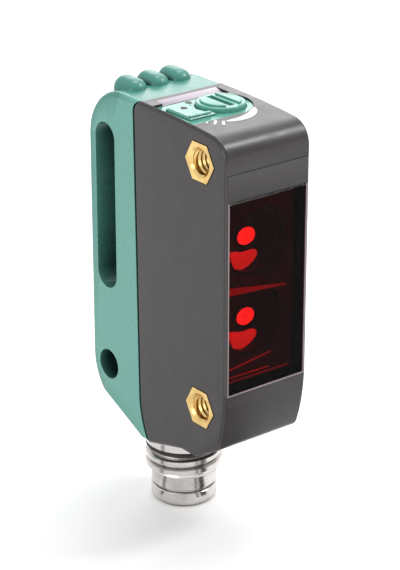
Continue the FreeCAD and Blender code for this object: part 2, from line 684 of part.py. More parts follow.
def connector_body():
    """Metal plug body: shank, ring, undercut, thread at its major diameter, and snap collar."""
    place = (0, CONNECTOR_Y)
    solid = rod(UNDERCUT_RADIUS, (*place, CONNECTOR_END_Z + COLLAR_LENGTH), SHANK_TOP_Z - THREAD_LOW_Z)
    solid = solid.fuse(rod(THREAD_RADIUS, (*place, RING_LOW_Z), RING_TOP_Z - RING_LOW_Z))
    thread = rod(THREAD_RADIUS, (*place, THREAD_LOW_Z), THREAD_LENGTH)
    thread = thread.makeChamfer(COLLAR_CHAMFER, [e for e in thread.Edges if e.BoundBox.ZLength < 1e-6])
    collar = rod(COLLAR_RADIUS, (*place, CONNECTOR_END_Z), COLLAR_LENGTH)
    collar = collar.makeChamfer(COLLAR_CHAMFER, [e for e in collar.Edges
                                                 if e.BoundBox.ZMax < CONNECTOR_END_Z + 1e-6])
    groove_z = THREAD_LOW_Z - 1.0 - COLLAR_GROOVE / 2
    groove = tube(THREAD_RADIUS, COLLAR_RADIUS - COLLAR_GROOVE_DEPTH, (*place, groove_z), COLLAR_GROOVE)
    solid = solid.fuse([thread, collar.cut(groove)])
    return solid.cut(rod(SOCKET_RADIUS, (*place, CONNECTOR_END_Z - 1), SHANK_TOP_Z - CONNECTOR_END_Z + 2))


def connector_seal():
    """Rubber ring in the undercut above the thread."""
    radius = UNDERCUT_HEIGHT / 2 - 0.02
    return Part.makeTorus(UNDERCUT_RADIUS + radius + 0.01, radius,
                          FreeCAD.Vector(0, CONNECTOR_Y, RING_LOW_Z - UNDERCUT_HEIGHT / 2), Z_AXIS)


def pin_place(k):
    """The centre of one contact."""
    x, y = PIN_PLACES[k]
    return x, CONNECTOR_Y + y


def contact_carrier():
    """Insulating core of the plug, with a bore for each contact."""
    solid = rod(SOCKET_RADIUS - 0.02, (0, CONNECTOR_Y, CARRIER_END_Z), SHANK_TOP_Z + 0.7 - CARRIER_END_Z)
    for k in range(len(PIN_PLACES)):
        solid = solid.cut(rod(PIN_RADIUS + 0.01, (*pin_place(k), CARRIER_END_Z - 1), 20))
    return solid


def contact_pin(k):
    """Round contact with a rounded tip and a thin tail."""
    x, y = pin_place(k)
    tip = CARRIER_END_Z - PIN_LENGTH_OUT
    top = SHANK_TOP_Z + 0.7
    nose = Part.makeSphere(PIN_RADIUS, FreeCAD.Vector(x, y, tip + PIN_RADIUS))
    return rod(PIN_RADIUS, (x, y, tip + PIN_RADIUS), top - tip - PIN_RADIUS).fuse(nose).removeSplitter()


def contact_leads():
    """Four stiff leads to the main board, the nearest contact's the lowest."""
    leads = []
    places = sorted((pin_place(k) for k in range(len(PIN_PLACES))), reverse=True)
    for rank, (x, y) in enumerate(places):
        z0 = SHANK_TOP_Z + 0.7
        rise = 0.6 + 0.8 * rank
        post = rod(0.22, (x, y, z0), rise)
        arm = rod(0.22, (x, y, z0 + rise), MAIN_BOARD_X - x, X_AXIS)
        elbow = Part.makeSphere(0.22, FreeCAD.Vector(x, y, z0 + rise))
        leads.append(post.fuse([arm, elbow]).removeSplitter())
    return Part.makeCompound(leads)


def sensor():
    """Every piece of the sensor by its node name."""
    receiver_z, emitter_z = channel_places()
    power_place, signal_place = light_pipe_places()
    pieces = {
        "front_housing": front_housing(),
        "rear_housing": rear_housing(),
        "front_window": front_window(),
        "window_seal": window_seal(),
        "optics_carrier": optics_carrier(),
        "receiver_lens": lens(receiver_z),
        "emitter_lens": lens(emitter_z),
        "receiver_reflector": reflector(receiver_z),
        "emitter_reflector": reflector(emitter_z),
        "receiver_diode": diode(receiver_z),
        "emitter_diode": diode(emitter_z),
        "optics_board": optics_board(),
        "main_board": main_board(),
        "board_link": board_link(),
        "control_chip": control_chip(),
        "board_components": board_components(),
        "control_board": control_board(),
        "power_led": indicator_led(power_place),
        "signal_led": indicator_led(signal_place),
        "indicator_panel": indicator_panel(),
        "teach_key": teach_key(),
        "key_seal": key_seal(),
        "key_switch": key_switch(),
        "switch_plunger": switch_plunger(),
        "mode_knob": mode_knob(),
        "knob_clip": knob_clip(),
        "knob_seal": knob_seal(),
        "rotary_switch": rotary_switch(),
        "switch_rotor": switch_rotor(),
        "lower_bushing": bushing(BUSHING_LOW_Z),
        "upper_bushing": bushing(BUSHING_LOW_Z + BUSHING_PITCH),
        "connector_body": connector_body(),
        "connector_seal": connector_seal(),
        "contact_carrier": contact_carrier(),
        "contact_leads": contact_leads(),
    }
    for k in range(len(PIN_PLACES)):
        pieces[f"contact_pin_{k + 1}"] = contact_pin(k)
    return pieces


def main():
    """Write one STEP file for each piece."""
    os.makedirs("parts", exist_ok=True)
    for node, shape in sensor().items():
        if not shape.isValid():
            raise ValueError(f"{node} isn't valid")
        shape.exportStep(f"parts/{node}.step")
        print(f"{node}: {len(shape.Solids)} solid(s), {shape.Volume:.2f} mm3")


main()
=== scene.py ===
import logging
import math
from dataclasses import dataclass, field
from enum import Enum

import bpy
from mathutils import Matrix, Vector


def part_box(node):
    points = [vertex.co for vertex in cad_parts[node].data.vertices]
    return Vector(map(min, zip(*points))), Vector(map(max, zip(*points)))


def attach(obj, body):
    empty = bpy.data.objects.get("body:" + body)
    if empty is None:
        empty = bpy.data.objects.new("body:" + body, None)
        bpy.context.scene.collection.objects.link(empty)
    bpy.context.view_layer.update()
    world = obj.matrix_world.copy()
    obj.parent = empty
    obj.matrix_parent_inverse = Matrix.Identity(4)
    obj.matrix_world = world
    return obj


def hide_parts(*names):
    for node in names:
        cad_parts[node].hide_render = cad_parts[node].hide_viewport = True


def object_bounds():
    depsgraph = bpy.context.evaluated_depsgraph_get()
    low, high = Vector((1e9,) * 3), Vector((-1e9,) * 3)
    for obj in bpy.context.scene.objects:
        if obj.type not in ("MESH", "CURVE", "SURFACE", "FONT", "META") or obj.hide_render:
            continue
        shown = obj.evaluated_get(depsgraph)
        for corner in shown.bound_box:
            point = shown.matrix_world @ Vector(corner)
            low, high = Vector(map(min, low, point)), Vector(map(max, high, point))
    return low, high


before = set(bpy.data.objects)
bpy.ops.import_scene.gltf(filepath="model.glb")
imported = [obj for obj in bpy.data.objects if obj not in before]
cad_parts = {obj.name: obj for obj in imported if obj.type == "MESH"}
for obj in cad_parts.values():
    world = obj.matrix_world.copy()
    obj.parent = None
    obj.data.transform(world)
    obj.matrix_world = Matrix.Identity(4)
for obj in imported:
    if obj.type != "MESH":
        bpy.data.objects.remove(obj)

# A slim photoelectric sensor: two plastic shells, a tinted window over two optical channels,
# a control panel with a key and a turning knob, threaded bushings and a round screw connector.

CAD_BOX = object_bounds()
CAD_TOP_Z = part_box("front_housing")[1].z
MM = 0.001
LOG = logging.getLogger("sensor")

Colour = tuple[float, float, float]
Point = tuple[float, float, float]
Span = tuple[float, float]
Piece = bpy.types.Object
Socket = bpy.types.NodeSocket
CLOSE_GAP = 1e-9


class Body(Enum):
    """The bodies that pieces ride on."""

    HOUSING = "housing"
    KNOB = "knob"
    KEY = "key"


# ---- Finishes ----


class NodeBench:
    """One material under construction: its node tree, its shader and its Object coordinates."""

    NOISE_SPAN: Span = (0.3, 0.7)

    def __init__(self, name: str) -> None:
        """Start an empty node material.

        Args:
            name: the material's name.
        """
        self.material = bpy.data.materials.new(name)
        self.material.use_nodes = True
        self.tree = self.material.node_tree
        self.shader = self.tree.nodes["Principled BSDF"]
        self.place = self.tree.nodes.new("ShaderNodeTexCoord").outputs["Object"]

    def node(self, kind: str, **values: object) -> bpy.types.Node:
        """Add a node and set its properties.

        Args:
            kind: the node's type name.
            values: properties of the node by name.

        Returns:
            The new node.
        """
        new = self.tree.nodes.new(kind)
        for key, value in values.items():
            setattr(new, key, value)
        return new

    def link(self, start: Socket, end: Socket) -> None:
        """Join two sockets."""
        self.tree.links.new(start, end)

    def feed(self, name: str, value: Socket) -> None:
        """Link a socket to one of the shader's inputs."""
        self.link(value, self.shader.inputs[name])

    def set(self, **values: object) -> None:
        """Set constants on the shader's sockets, named with underscores for spaces."""
        for key, value in values.items():
            self.shader.inputs[key.replace("_", " ")].default_value = value

    def stretched(self, scale: Point) -> Socket:
        """Object coordinates scaled along each axis.

        Args:
            scale: the three factors.

        Returns:
            The scaled coordinates.
        """
        mapping = self.node("ShaderNodeMapping")
        mapping.inputs["Scale"].default_value = scale
        self.link(self.place, mapping.inputs["Vector"])
        return mapping.outputs["Vector"]

    def noise(self, scale: float, detail: float = 2.0,
              place: Socket | None = None) -> Socket:
        """A noise pattern.

        Args:
            scale: cells to the metre.
            detail: how many finer layers it has.
            place: coordinates, or the object's own.

        Returns:
            The noise's value, about 0.5 on average.
        """
        texture = self.node("ShaderNodeTexNoise")
        texture.inputs["Scale"].default_value = scale
        texture.inputs["Detail"].default_value = detail
        self.link(place or self.place, texture.inputs["Vector"])
        return texture.outputs["Fac"]

    def remapped(self, value: Socket, source: Span, result: Span = (0.0, 1.0)) -> Socket:
        """Map one span of a value onto another.

        Args:
            value: the socket to map.
            source: the ends of its span.
            result: what the ends become.

        Returns:
            The mapped value.
        """
        remap = self.node("ShaderNodeMapRange")
        for name, number in zip(("From Min", "From Max", "To Min", "To Max"), (*source, *result)):
            remap.inputs[name].default_value = number
        self.link(value, remap.inputs["Value"])
        return remap.outputs["Result"]

    def spread(self, value: Socket, low: float, high: float) -> Socket:
        """Map a noise's usual span onto a range."""
        return self.remapped(value, self.NOISE_SPAN, (low, high))

    def blend_colour(self, factor: Socket, low: Colour, high: Colour) -> Socket:
        """Mix two colours by a factor.

        Args:
            factor: 0 gives the first colour and 1 the second.
            low: the first colour.
            high: the second colour.

        Returns:
            The mixed colour.
        """
        mix = self.node("ShaderNodeMix", data_type="RGBA")
        mix.inputs[6].default_value = (*low, 1.0)
        mix.inputs[7].default_value = (*high, 1.0)
        self.link(factor, mix.inputs[0])
        return mix.outputs[2]

    def edge_abrasion_and_highlight(self, low: float, high: float) -> Socket:
        """Where edges stand out, from 0 on flats to 1 on a sharp edge; the plastics paint abrasion and
        highlight there.
        """
        edge = self.node("ShaderNodeNewGeometry").outputs["Pointiness"]
        return self.remapped(edge, (low, high))

    def sunk(self, reach: float, open_at: float = 0.75, closed_at: float = 0.25) -> Socket:
        """How enclosed a point sits in a hole or groove, from 0 in the open to 1; the finishes paint shade
        with it.

        Args:
            reach: how far walls count, in metres.
            open_at: the openness at which the factor is 0.
            closed_at: the openness at which it is 1.

        Returns:
            The depth factor.
        """
        hollow_shade = self.node("ShaderNodeAmbientOcclusion", samples=8)
        hollow_shade.inputs["Distance"].default_value = reach
        return self.remapped(hollow_shade.outputs["AO"], (open_at, closed_at))

    def over(self, factor: Socket, under: Socket, top: Colour) -> Socket:
        """Lay a colour over a coloured socket.

        Args:
            factor: how much of the colour shows.
            under: the colour beneath.
            top: the colour laid over it.

        Returns:
            The mixed colour.
        """
        mix = self.node("ShaderNodeMix", data_type="RGBA")
        self.link(factor, mix.inputs[0])
        self.link(under, mix.inputs[6])
        mix.inputs[7].default_value = (*top, 1.0)
        return mix.outputs[2]

    def bump(self, height: Socket, strength: float, depth: float) -> None:
        """Add a bump under any that the shader has.

        Args:
            height: the pattern to raise.
            strength: its share.
            depth: its depth in metres.
        """
        bump = self.node("ShaderNodeBump")
        bump.inputs["Strength"].default_value = strength
        bump.inputs["Distance"].default_value = depth
        self.link(height, bump.inputs["Height"])
        target = self.shader.inputs["Normal"]
        if target.is_linked:
            self.link(target.links[0].from_socket, bump.inputs["Normal"])
        self.link(bump.outputs["Normal"], target)


@dataclass(frozen=True)
class Recipe:
    """How one named material is made."""

    name: str

    def build(self) -> bpy.types.Material:
        """Build the material.

        Returns:
            The finished material.
        """
        bench = NodeBench(self.name)
        self.paint(bench)
        return bench.material

    def paint(self, bench: NodeBench) -> None:
        """Set up the shader; each kind of finish has its own way."""
        raise NotImplementedError


@dataclass(frozen=True)
class MouldedPlastic(Recipe):
    """A dyed plastic with a fine eroded grain, slow tone changes, paler edges that are part abrasion and part
    painted highlight, and painted shade in its hollows.
    """

    colour: Colour
    # Paler edge colour: part abrasion, part painted highlight.
    abrasion_and_highlight_colour: Colour
    roughness: float = 0.42
    grain: float = 9000.0
    grain_depth: float = 0.00001
    tone: float = 0.12
    # Painted shade: the share of the colour left in hollows, and how far walls count.
    hollow_shade: float = 0.30
    reach: float = 0.0035
    speckle: float = 0.05
    tone_scale: float = 130.0
    speckle_scale: float = 2600.0
    gloss_scale: float = 420.0
    ripple_scale: float = 900.0
    gloss_change: Span = (-0.05, 0.07)
    abrasion_and_highlight_span: Span = (0.515, 0.59)

    def paint(self, bench: NodeBench) -> None:
        """Paint the plastic.

        Args:
            bench: the material under construction.
        """
        dark = tuple(part * (1 - self.tone) for part in self.colour)
        light = tuple(part * (1 + self.tone) for part in self.colour)
        body = bench.blend_colour(bench.noise(self.tone_scale, 3.0), dark, light)
        fine = bench.spread(bench.noise(self.speckle_scale), -self.speckle, self.speckle)
        bright = bench.node("ShaderNodeHueSaturation")
        lift = bench.node("ShaderNodeMath", operation="ADD")
        lift.inputs[1].default_value = 1.0
        bench.link(fine, lift.inputs[0])
        bench.link(lift.outputs[0], bright.inputs["Value"])
        bench.link(body, bright.inputs["Color"])
        # Paler edges: part real abrasion, part painted highlight.
        body = bench.over(bench.edge_abrasion_and_highlight(*self.abrasion_and_highlight_span), bright.outputs["Color"], self.abrasion_and_highlight_colour)
        # Painted shade: the colour darkens in holes, grooves and creases, where shade falls.
        hollow_shade_colour = tuple(part * self.hollow_shade for part in self.colour)
        bench.feed("Base Color", bench.over(bench.sunk(self.reach), body, hollow_shade_colour))
        glossy, dull = (self.roughness + change for change in self.gloss_change)
        rough = bench.spread(bench.noise(self.gloss_scale, 4.0), glossy, dull)
        bench.feed("Roughness", rough)
        bench.bump(bench.noise(self.grain), 0.5, self.grain_depth)
        bench.bump(bench.noise(self.ripple_scale), 0.10, self.grain_depth)


@dataclass(frozen=True)
class TintedWindow(Recipe):
    """A polished acrylic sheet, dyed so deeply that little but red passes."""

    name: str = "red_window"
    tint: Colour = (0.46, 0.022, 0.022)
    shade_share: float = 0.86
    polish: Span = (0.015, 0.06)
    ripple_depth: float = 0.00001

    def paint(self, bench: NodeBench) -> None:
        """Paint the window.

        Args:
            bench: the material under construction.
        """
        bench.set(Transmission_Weight=1.0, IOR=1.12, Specular_IOR_Level=0.3)
        shade = tuple(part * self.shade_share for part in self.tint)
        dye = bench.blend_colour(bench.noise(240.0, 3.0), shade, self.tint)
        bench.feed("Base Color", dye)
        bench.feed("Roughness", bench.spread(bench.noise(900.0, 5.0), *self.polish))
        bench.bump(bench.noise(160.0, 1.0), 0.03, self.ripple_depth)


@dataclass(frozen=True)
class ClearMoulding(Recipe):
    """A clear or lightly dyed moulding, frosted a little inside, with a painted glow when asked."""

    tint: Colour
    transmission: float
    roughness: float = 0.18
    index: float = 1.45
    flow: float = 0.1
    glow: Colour = (0.0, 0.0, 0.0)
    painted_emission_strength: float = 0.0

    def paint(self, bench: NodeBench) -> None:
        """Paint the clear plastic.

        Args:
            bench: the material under construction.
        """
        bench.set(Transmission_Weight=self.transmission, IOR=self.index)
        low = tuple(part * (1 - self.flow) for part in self.tint)
        high = tuple(min(1.0, part * (1 + self.flow)) for part in self.tint)
        dye = bench.blend_colour(bench.noise(380.0, 3.0), low, high)
        bench.feed("Base Color", dye)
        rough = bench.spread(bench.noise(1500.0, 3.0), self.roughness * 0.7, self.roughness * 1.3)
        bench.feed("Roughness", rough)
        bench.bump(bench.noise(700.0, 2.0), 0.2, 0.00001)
        # Painted glow: the part gives off light though it is no lamp.
        if self.painted_emission_strength:
            bench.set(Emission_Color=(*self.glow, 1.0), Emission_Strength=self.painted_emission_strength)


@dataclass(frozen=True)
class TurnedMetal(Recipe):
    """A plated or solid metal with fine tool marks round or along one direction, painted shade in its grooves
    and, when asked, a painted glow.
    """

    colour: Colour
    shade: Colour
    roughness: float = 0.2
    marks: Point = (300.0, 300.0, 14000.0)
    mark_depth: float = 0.000004
    # Painted shade: the brownish colour of grooves and bores, and how far walls count.
    hollow_shade_colour: Colour = (0.16, 0.13, 0.11)
    reach: float = 0.0012
    glow: Colour = (1.0, 0.24, 0.20)
    painted_emission_strength: float = 0.0

    def paint(self, bench: NodeBench) -> None:
        """Paint the metal.

        Args:
            bench: the material under construction.
        """
        bench.set(Metallic=1.0)
        stain = bench.noise(700.0, 4.0)
        plain_metal = bench.blend_colour(bench.spread(stain, 0.0, 1.0), self.shade, self.colour)
        # Painted shade: the metal goes brownish dark in its grooves and bores, where shade falls.
        metal_with_painted_shade = bench.over(bench.sunk(self.reach), plain_metal, self.hollow_shade_colour)
        bench.feed("Base Color", metal_with_painted_shade)
        marks = bench.noise(1.0, 2.0, bench.stretched(self.marks))
        bench.feed("Roughness", bench.spread(marks, self.roughness * 0.75, self.roughness * 1.35))
        bench.bump(marks, 0.35, self.mark_depth)
        # Painted glow: the part gives off light though it is no lamp.
        if self.painted_emission_strength:
            bench.set(Emission_Color=(*self.glow, 1.0), Emission_Strength=self.painted_emission_strength)


@dataclass(frozen=True)
class SoftRubber(Recipe):
    """A dull rubber with a dusty bloom."""

    name: str = "rubber"
    colour: Colour = (0.012, 0.012, 0.013)
    bloom: Colour = (0.035, 0.034, 0.036)

    def paint(self, bench: NodeBench) -> None:
        """Paint the rubber.

        Args:
            bench: the material under construction.
        """
        bench.feed("Base Color", bench.blend_colour(bench.noise(1400.0, 4.0), self.colour, self.bloom))
        bench.feed("Roughness", bench.spread(bench.noise(2500.0), 0.6, 0.8))
        bench.bump(bench.noise(7000.0), 0.4, 0.00001)


@dataclass(frozen=True)
class BoardLaminate(Recipe):
    """A green circuit board: solder mask over copper tracks, with glass weave under it."""

    name: str = "circuit_board"
    mask: Colour = (0.010, 0.085, 0.035)
    track: Colour = (0.030, 0.190, 0.075)

    def paint(self, bench: NodeBench) -> None:
        """Paint the board.

        Args:
            bench: the material under construction.
        """
        tracks = bench.node("ShaderNodeTexBrick")
        tracks.inputs["Scale"].default_value = 620.0
        tracks.inputs["Mortar Size"].default_value = 0.06
        bench.link(bench.place, tracks.inputs["Vector"])
        laid = bench.blend_colour(tracks.outputs["Fac"], self.mask, self.track)
        bench.feed("Base Color", laid)
        bench.set(Coat_Weight=0.4, Coat_Roughness=0.15)
        bench.feed("Roughness", bench.spread(bench.noise(3000.0), 0.25, 0.4))
        bench.bump(tracks.outputs["Fac"], 0.3, 0.00002)


@dataclass(frozen=True)
class PrintedInk(Recipe):
    """A thin pad-printed ink, a little uneven."""

    name: str = "ink"
    colour: Colour = (0.84, 0.84, 0.86)

    def paint(self, bench: NodeBench) -> None:
        """Paint the ink.

        Args:
            bench: the material under construction.
        """
        thin = tuple(part * 0.82 for part in self.colour)
        print_colour = bench.blend_colour(bench.noise(5200.0, 3.0), thin, self.colour)
        bench.feed("Base Color", print_colour)
        bench.feed("Roughness", bench.spread(bench.noise(2600.0), 0.45, 0.62))
        bench.bump(bench.noise(9000.0), 0.3, 0.000006)


class Finish(Enum):
    """Every finish of the sensor, by what it is made of; the glowing ones paint highlights and reflections.
    """

    BLACK_PLASTIC = MouldedPlastic("black_plastic", (0.027, 0.022, 0.022), (0.062, 0.056, 0.058), 0.33,
                                   speckle=0.16)
    GREEN_PLASTIC = MouldedPlastic("green_plastic", (0.056, 0.262, 0.212), (0.150, 0.430, 0.360), 0.30,
                                   grain_depth=0.000004, tone=0.07, hollow_shade=0.10, reach=0.006)
    RED_WINDOW = TintedWindow()
    CLEAR_LENS = ClearMoulding("clear_lens", (0.98, 0.96, 0.96), 1.0, 0.03, 1.03, 0.02)
    # Painted highlight: a glowing resin for the discs at the diode noses.
    DIODE = ClearMoulding("painted_nose_glint", (0.95, 0.30, 0.25), 0.25, 0.15,
                          glow=(1.0, 0.30, 0.26), painted_emission_strength=1.7)
    # Painted reflection: the reflectors glow to stand for the light they catch.
    REFLECTOR = TurnedMetal("reflector", (0.95, 0.90, 0.88), (0.80, 0.76, 0.75), 0.25, painted_emission_strength=1.1)
    # Painted highlights: a faintly glowing red for thin bars between and below the channels.
    LIGHT_EDGE = ClearMoulding("painted_red_glint", (0.85, 0.16, 0.13), 0.3, 0.35, flow=0.4,
                               glow=(1.0, 0.12, 0.10), painted_emission_strength=0.10)
    SMOKED_RESIN = ClearMoulding("smoked_resin", (0.05, 0.02, 0.02), 0.4, 0.12, 1.2, 0.1)
    PALE_STRIP = ClearMoulding("pale_strip", (0.52, 0.45, 0.53), 0.15, 0.22, 1.45, 0.06)
    # Painted highlight: a pale clear plastic for the thin lip along the window's edges.
    WINDOW_LIP = ClearMoulding("painted_lip_highlight", (0.42, 0.34, 0.35), 0.1, 0.20, 1.45, 0.15)
    GREEN_CLEAR = ClearMoulding("green_clear", (0.17, 0.52, 0.42), 0.25, 0.22, 1.47, 0.12)
    RUBBER = SoftRubber()
    BRASS = TurnedMetal("brass", (0.86, 0.62, 0.26), (0.66, 0.43, 0.16), 0.20, (9000.0, 500.0, 500.0),
                        hollow_shade_colour=(0.09, 0.045, 0.015), reach=0.0016)
    NICKEL = TurnedMetal("nickel", (0.74, 0.71, 0.69), (0.60, 0.57, 0.55), 0.23)
    CIRCUIT_BOARD = BoardLaminate()
    DARK_COMPONENT = MouldedPlastic("dark_component", (0.008, 0.007, 0.007), (0.020, 0.018, 0.018), 0.55)
    PALE_COMPONENT = MouldedPlastic("pale_component", (0.70, 0.68, 0.62), (0.80, 0.78, 0.72), 0.38)
    GOLD = TurnedMetal("gold", (0.95, 0.70, 0.32), (0.80, 0.55, 0.22), 0.18)
    SPRING_STEEL = TurnedMetal("spring_steel", (0.56, 0.55, 0.53), (0.42, 0.41, 0.40), 0.24)
    INK = PrintedInk()


class FinishShelf:
    """Makes each finish once and hands it out."""

    def __init__(self) -> None:
        """Start with nothing made."""
        self.made: dict[Finish, bpy.types.Material] = {}

    def get(self, finish: Finish) -> bpy.types.Material:
        """The material of a finish.

        Args:
            finish: which finish.

        Returns:
            Its material, made the first time it is asked for.
        """
        if finish not in self.made:
            self.made[finish] = finish.value.build()
        return self.made[finish]

    def dress(self, piece: Piece, finish: Finish) -> None:
        """Give a piece one finish all over."""
        piece.data.materials.clear()
        piece.data.materials.append(self.get(finish))

    def dress_nodes(self, finish: Finish, *nodes: str) -> None:
        """Give CAD nodes one finish.

        Args:
            finish: their finish.
            nodes: the nodes' names.
        """
        for name in nodes:
            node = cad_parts[name]
            for place in node.material_slots:
                place.material = self.get(finish)
            LOG.info("dressed %s in %s", name, finish.name)


# ---- Bench work ----


def clear_selection() -> None:
    """Leave edit mode and deselect every object."""
    if bpy.context.object is not None and bpy.context.object.mode != "OBJECT":
        bpy.ops.object.mode_set(mode="OBJECT")
    bpy.ops.object.select_all(action="DESELECT")


def make_active(piece: Piece) -> None:
    """Select one object alone and make it active.

    Args:
        piece: the object.
    """
    clear_selection()
    piece.select_set(True)
    bpy.context.view_layer.objects.active = piece


def place_for_good(piece: Piece) -> None:
    """Put an object's place into its mesh, so that it sits at the origin, unturned and unscaled.

    Args:
        piece: the object.
    """
    make_active(piece)
    bpy.ops.object.transform_apply(location=True, rotation=True, scale=True)


def edit_all(piece: Piece) -> None:
    """Open one object in edit mode with all of its mesh selected.

    Args:
        piece: the object.
    """
    make_active(piece)
    bpy.ops.object.mode_set(mode="EDIT")
    bpy.ops.mesh.select_all(action="SELECT")


def apply_modifiers(piece: Piece) -> None:
    """Apply an object's modifiers in order.

    Args:
        piece: the object.
    """
    make_active(piece)
    for modifier in list(piece.modifiers):
        bpy.ops.object.modifier_apply(modifier=modifier.name)


def close_and_face_out(piece: Piece, gap: float = 1e-6) -> None:
    """Merge doubled points, close open rims and point every face outwards.

    Args:
        piece: the object.
        gap: the distance under which points merge.
    """
    edit_all(piece)
    bpy.ops.mesh.remove_doubles(threshold=gap)
    bpy.ops.mesh.select_all(action="SELECT")
    bpy.ops.mesh.fill_holes(sides=0)
    bpy.ops.mesh.select_all(action="SELECT")
    bpy.ops.mesh.normals_make_consistent(inside=False)
    bpy.ops.object.mode_set(mode="OBJECT")


def smooth(piece: Piece, angle: float = 32.0) -> None:
    """Shade an object smooth but for its sharp edges.

    Args:
        piece: the object.
        angle: the sharpest angle that is still smooth, in degrees.
    """
    make_active(piece)
    bpy.ops.object.shade_smooth_by_angle(angle=math.radians(angle))


def round_edges(piece: Piece, width: float, segments: int = 3) -> None:
    """Round an object's sharp edges, close it and shade it smooth.

    Args:
        piece: the object.
        width: the rounding in metres.
        segments: facets across the rounding.
    """
    bevel = piece.modifiers.new("round", "BEVEL")
    bevel.width = width
    bevel.segments = segments
    bevel.limit_method = "ANGLE"
    apply_modifiers(piece)
    close_and_face_out(piece, CLOSE_GAP)
    smooth(piece, 40)


def profile_wire(name: str, points: list[tuple[float, float]]) -> Piece:
    """A wire in the XZ plane, extruded point by point.

    Args:
        name: the new object's name.
        points: (radius, height) pairs, in metres.

    Returns:
        The wire, not yet turned.
    """
    clear_selection()
    bpy.ops.mesh.primitive_plane_add(size=MM, location=(0, 0, 0))
    wire = bpy.context.object
    wire.name = name
    edit_all(wire)
    bpy.ops.mesh.merge(type="CENTER")
    bpy.ops.transform.translate(value=(points[0][0], 0, points[0][1]))
    for start, end in zip(points, points[1:]):
        step = (end[0] - start[0], 0, end[1] - start[1])
        bpy.ops.mesh.extrude_region_move(TRANSFORM_OT_translate={"value": step})
    bpy.ops.object.mode_set(mode="OBJECT")
    return wire


def lathe(name: str, points: list[tuple[float, float]], steps: int = 96) -> Piece:
    """Turn a profile about the Z axis.

    Args:
        name: the new object's name.
        points: (radius, height) pairs, in metres.
        steps: facets round the axis.

    Returns:
        The turned solid, about the Z axis.
    """
    piece = profile_wire(name, points)
    edit_all(piece)
    bpy.ops.mesh.spin(steps=steps, angle=math.tau, center=(0, 0, 0), axis=(0, 0, 1))
    bpy.ops.object.mode_set(mode="OBJECT")
    close_and_face_out(piece)
    return piece


@dataclass
class Helix:
    """A screw thread's ridge: its root and crest radii, pitch and turns, and its widths in pitches."""

    root: float
    crest: float
    pitch: float
    turns: float
    steps: int = 48
    run_out: float = 0.35
    flat: float = 0.07
    half_width: float = 0.47
    sunk_share: float = 0.25
    thinnest: float = 0.02

    def _foot(self) -> float:
        """Find the radius of the ridge's foot, a little inside the wall it stands on."""
        return self.root + (self.root - self.crest) * self.sunk_share

    def build(self, name: str) -> Piece:
        """Sweep the ridge up the Z axis from the origin.

        Args:
            name: the new object's name.

        Returns:
            The ridge, with its ends run out into the root.
        """
        foot = self._foot()
        flank = self.pitch * self.half_width
        flat = self.pitch * self.flat
        corners = [(foot, -flank), (self.crest, -flat), (self.crest, flat), (foot, flank), (foot, -flank)]
        ridge = profile_wire(name, corners)
        close_loop = ridge.modifiers.new("weld", "WELD")
        close_loop.merge_threshold = 1e-7
        screw = ridge.modifiers.new("screw", "SCREW")
        screw.axis = "Z"
        screw.angle = math.tau * self.turns
        screw.screw_offset = self.pitch * self.turns
        screw.steps = screw.render_steps = int(self.steps * self.turns)
        screw.use_merge_vertices = False
        apply_modifiers(ridge)
        self._run_out_ends(ridge)
        close_and_face_out(ridge, 1e-8)
        return ridge

    def _run_out_ends(self, ridge: Piece) -> None:
        """Sink the first and last part of a turn into the root.

        Args:
            ridge: the swept ridge.
        """
        base = self._foot()
        count = int(self.steps * self.turns) + 1
        rings = len(ridge.data.vertices) // count
        for index, vertex in enumerate(ridge.data.vertices):
            turn = (index // rings) / self.steps
            share = min(1.0, turn / self.run_out, (self.turns - turn) / self.run_out)
            radius = math.hypot(vertex.co.x, vertex.co.y)
            if radius > 1e-9:
                wanted = base + (radius - base) * max(self.thinnest, share)
                vertex.co.x *= wanted / radius
                vertex.co.y *= wanted / radius


def flat_shape(points: list[Point]) -> Piece:
    """A flat face through points in order.

    Args:
        points: its corners, in metres.

    Returns:
        The face, as an object at the origin.
    """
    clear_selection()
    bpy.ops.mesh.primitive_circle_add(vertices=len(points), radius=MM, fill_type="NOTHING")
    shape = bpy.context.object
    for vertex, point in zip(shape.data.vertices, points):
        vertex.co = point
    edit_all(shape)
    bpy.ops.mesh.edge_face_add()
    bpy.ops.object.mode_set(mode="OBJECT")
    return shape


def slab(points: list[Point], push: Point) -> Piece:
    """A flat face extruded along a vector.

    Args:
        points: the face's corners in order, in metres.
        push: the extrusion.

    Returns:
        The closed slab.
    """
    shape = flat_shape(points)
    edit_all(shape)
    bpy.ops.mesh.extrude_region_move(TRANSFORM_OT_translate={"value": push})
    bpy.ops.object.mode_set(mode="OBJECT")
    close_and_face_out(shape, CLOSE_GAP)
    return shape


def join(name: str, pieces: list[Piece]) -> Piece:
    """Join objects into one.

    Args:
        name: the joined object's name.
        pieces: the objects.

    Returns:
        The joined object.
    """
    make_active(pieces[0])
    for piece in pieces[1:]:
        piece.select_set(True)
    bpy.ops.object.join()
    pieces[0].name = name
    return pieces[0]


# ---- Sub-assemblies ----


